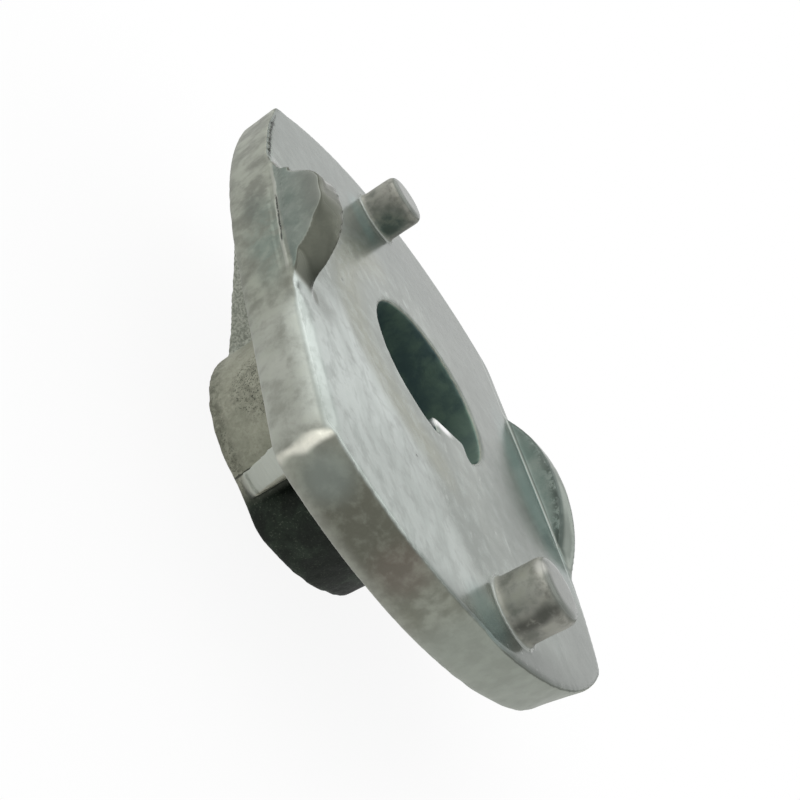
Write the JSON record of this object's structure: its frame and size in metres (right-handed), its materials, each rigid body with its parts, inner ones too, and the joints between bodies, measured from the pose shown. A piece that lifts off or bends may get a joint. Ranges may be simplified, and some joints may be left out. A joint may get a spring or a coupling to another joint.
{
  "type": "mower blade adapter",
  "caption": "Disc-shaped cast adapter with a keyed hub behind it, and locating pins and arched lugs on its face, that seats a mower blade on an engine shaft.",
  "frame": {"origin": "on the bore's axis, at the flat end of the hub", "axes": "+Z along the bore's axis from the hub's end towards the face that carries the blade; +X through both pins, towards the key in the bore"},
  "size_m": [0.0763, 0.0596, 0.0274],
  "materials": {
    "casting": "as-cast, satin, mottled grey"
  },
  "bodies": {
    "root": {"adapter": "casting"}
  },
  "joints": []
}
